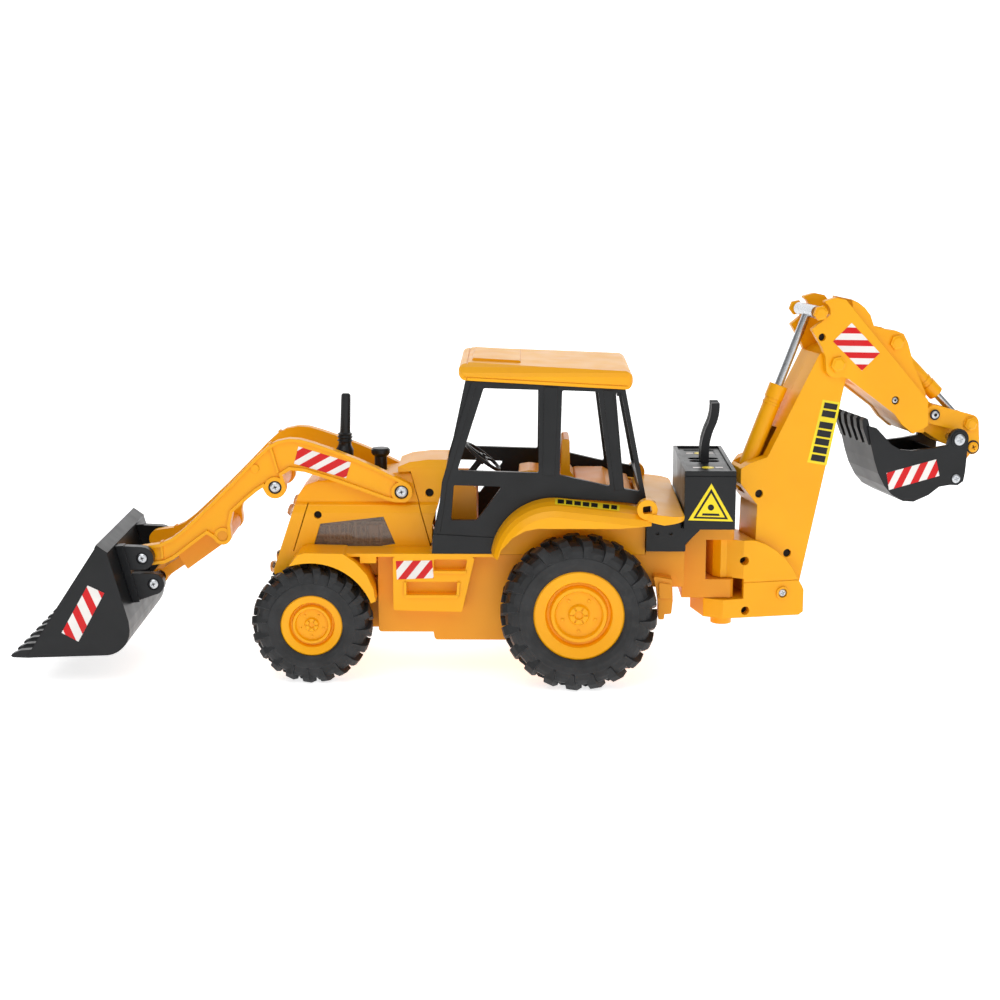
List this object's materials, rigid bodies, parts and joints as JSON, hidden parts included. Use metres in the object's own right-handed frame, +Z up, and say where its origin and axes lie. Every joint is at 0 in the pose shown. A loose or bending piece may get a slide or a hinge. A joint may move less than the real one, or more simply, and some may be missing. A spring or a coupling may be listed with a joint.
{
  "type": "toy backhoe loader",
  "caption": "Toy backhoe loader with a cab, treaded tyres, a tilting front bucket on curved arms, and a swinging two-part digging arm with a linked bucket.",
  "frame": {"origin": "on the ground, below the middle of the rear axle and on the machine's middle plane", "axes": "+X towards the front loader bucket, +Y towards the machine's left side, +Z up"},
  "size_m": [0.605, 0.132, 0.2333],
  "materials": {
    "yellow_plastic": "satin moulded plastic",
    "amber_plastic": "satin moulded plastic",
    "black_plastic": "fine textured moulded plastic",
    "cable_jacket": "flexible jacket",
    "tyre_rubber": "soft plastic tyre",
    "bright_steel": "bright plated",
    "white_nylon": "moulded",
    "smoke_relief": "moulded relief",
    "clear_plastic": "clear moulded plastic"
  },
  "bodies": {
    "machine": {"chassis_tub": "amber_plastic", "deck_shell": "yellow_plastic", "hood_shell": "yellow_plastic", "cowl_shell": "yellow_plastic", "engine_relief": "smoke_relief", "engine_windows": "clear_plastic", "lamp_lenses": "clear_plastic", "exhaust_stack": "black_plastic", "air_precleaner": "black_plastic", "cab_left_frame": "black_plastic", "cab_right_frame": "black_plastic", "roof_shell": "yellow_plastic", "cab_interior": "amber_plastic", "seat": "yellow_plastic", "steering_column": "black_plastic", "rear_fender_shell": "yellow_plastic", "stabiliser_blocks": "amber_plastic", "box_bracket": "black_plastic", "control_box": "black_plastic", "control_box_lid": "black_plastic", "ribbon_cable": "cable_jacket", "kingpost_bracket": "amber_plastic", "swing_pin": "bright_steel", "loader_pivot_pin": "bright_steel", "drive_motor": "bright_steel", "gear_housing": "white_nylon"},
    "front_wheels": {"front_axle": "bright_steel", "front_rims": "yellow_plastic", "front_left_tyre": "tyre_rubber", "front_right_tyre": "tyre_rubber"},
    "rear_wheels": {"rear_axle": "bright_steel", "rear_rims": "yellow_plastic", "rear_left_tyre": "tyre_rubber", "rear_right_tyre": "tyre_rubber"},
    "steering": {"steering_wheel": "black_plastic"},
    "loader_arms": {"loader_arm_left": "yellow_plastic", "loader_arm_right": "yellow_plastic", "arm_cross_tube": "yellow_plastic", "arm_screws": "bright_steel", "tilt_barrel": "amber_plastic"},
    "tilt_ram": {"tilt_fork": "amber_plastic"},
    "loader_bucket_body": {"loader_bucket": "black_plastic", "bucket_ears": "black_plastic", "ear_pins": "bright_steel"},
    "swing_post_body": {"swing_post": "yellow_plastic", "boom_pin": "bright_steel"},
    "boom": {"boom_left": "yellow_plastic", "boom_right": "yellow_plastic"},
    "boom_ram_outer": {"boom_ram_barrel": "yellow_plastic"},
    "boom_ram_inner": {"boom_ram_rod": "bright_steel"},
    "dipper": {"dipper_left": "yellow_plastic", "dipper_right": "yellow_plastic", "dipper_caps": "yellow_plastic"},
    "bucket_ram_outer": {"bucket_ram_barrel": "yellow_plastic"},
    "bucket_ram_inner": {"bucket_ram_rod": "bright_steel"},
    "rocker": {"rocker_plates": "yellow_plastic"},
    "link": {"drag_link": "yellow_plastic"},
    "hoe_bucket_body": {"hoe_bucket": "black_plastic", "hoe_pins": "bright_steel"}
  },
  "joints": [
    {"name": "front_wheels_roll", "type": "hinge", "parent": "machine", "child": "front_wheels", "pos_m": [0.163, 0, 0.037], "axis": [0, 1, 0], "continuous": true},
    {"name": "rear_wheels_roll", "type": "hinge", "parent": "machine", "child": "rear_wheels", "pos_m": [0, 0, 0.0475], "axis": [0, 1, 0], "continuous": true},
    {"name": "steering_wheel_turn", "type": "hinge", "parent": "machine", "child": "steering", "pos_m": [0.059, 0, 0.1335], "axis": [-0.6115, 0, 0.7912], "continuous": true},
    {"name": "loader_arms_lift", "type": "hinge", "parent": "machine", "child": "loader_arms", "pos_m": [0.1085, 0, 0.116], "axis": [0, -1, 0], "range_deg": [-4, 42]},
    {"name": "loader_bucket_tilt", "type": "hinge", "parent": "loader_arms", "child": "loader_bucket_body", "pos_m": [0.2685, 0, 0.0753], "axis": [0, -1, 0], "range_deg": [-35, 12]},
    {"name": "tilt_ram_slide", "type": "slide", "parent": "loader_arms", "child": "tilt_ram", "axis": [0.8248, 0, -0.5654], "range_m": [-0.0125, 0.0055]},
    {"name": "backhoe_swing", "type": "hinge", "parent": "machine", "child": "swing_post_body", "pos_m": [-0.092, 0, 0.06], "axis": [0, 0, 1], "range_deg": [-25, 12]},
    {"name": "boom_lean", "type": "hinge", "parent": "swing_post_body", "child": "boom", "pos_m": [-0.12388, -0.00854, 0.049], "axis": [0.2588, -0.9659, 0], "range_deg": [0, 38]},
    {"name": "dipper_swing", "type": "hinge", "parent": "boom", "child": "dipper", "pos_m": [-0.15575, -0.01708, 0.192], "axis": [-0.2588, 0.9659, 0], "range_deg": [-4, 40]},
    {"name": "boom_ram_pivot", "type": "hinge", "parent": "boom", "child": "boom_ram_outer", "pos_m": [-0.10359, -0.00311, 0.12], "axis": [-0.2588, 0.9659, 0], "range_deg": [-1, 9]},
    {"name": "boom_ram_slide", "type": "slide", "parent": "boom_ram_outer", "child": "boom_ram_inner", "axis": [-0.3543, -0.0949, 0.9303], "range_m": [-0.0225, 0.003]},
    {"name": "hoe_bucket_curl", "type": "hinge", "parent": "dipper", "child": "hoe_bucket_body", "pos_m": [-0.23592, -0.03856, 0.142], "axis": [-0.2588, 0.9659, 0], "range_deg": [-3, 45]},
    {"name": "rocker_pivot", "type": "hinge", "parent": "dipper", "child": "rocker", "pos_m": [-0.22337, -0.0352, 0.157], "axis": [-0.2588, 0.9659, 0], "range_deg": [-2, 24]},
    {"name": "link_pivot", "type": "hinge", "parent": "rocker", "child": "link", "pos_m": [-0.25041, -0.04245, 0.135], "axis": [-0.2588, 0.9659, 0], "range_deg": [-2, 12]},
    {"name": "bucket_ram_pivot", "type": "hinge", "parent": "dipper", "child": "bucket_ram_outer", "pos_m": [-0.19535, -0.02769, 0.204], "axis": [-0.2588, 0.9659, 0], "range_deg": [-1, 8]},
    {"name": "bucket_ram_slide", "type": "slide", "parent": "bucket_ram_outer", "child": "bucket_ram_inner", "axis": [-0.6862, -0.1839, -0.7038], "range_m": [-0.0075, 0.0015]}
  ],
  "couplings": [
    {"joint": "tilt_ram_slide", "follows": "loader_bucket_tilt", "m_per_rad": 0.01696},
    {"joint": "boom_ram_pivot", "follows": "dipper_swing", "ratio": 0.18},
    {"joint": "boom_ram_slide", "follows": "dipper_swing", "m_per_rad": -0.029221},
    {"joint": "rocker_pivot", "follows": "hoe_bucket_curl", "ratio": 0.487},
    {"joint": "link_pivot", "follows": "hoe_bucket_curl", "ratio": 0.23},
    {"joint": "bucket_ram_pivot", "follows": "hoe_bucket_curl", "ratio": 0.14},
    {"joint": "bucket_ram_slide", "follows": "hoe_bucket_curl", "m_per_rad": -0.00785}
  ]
}
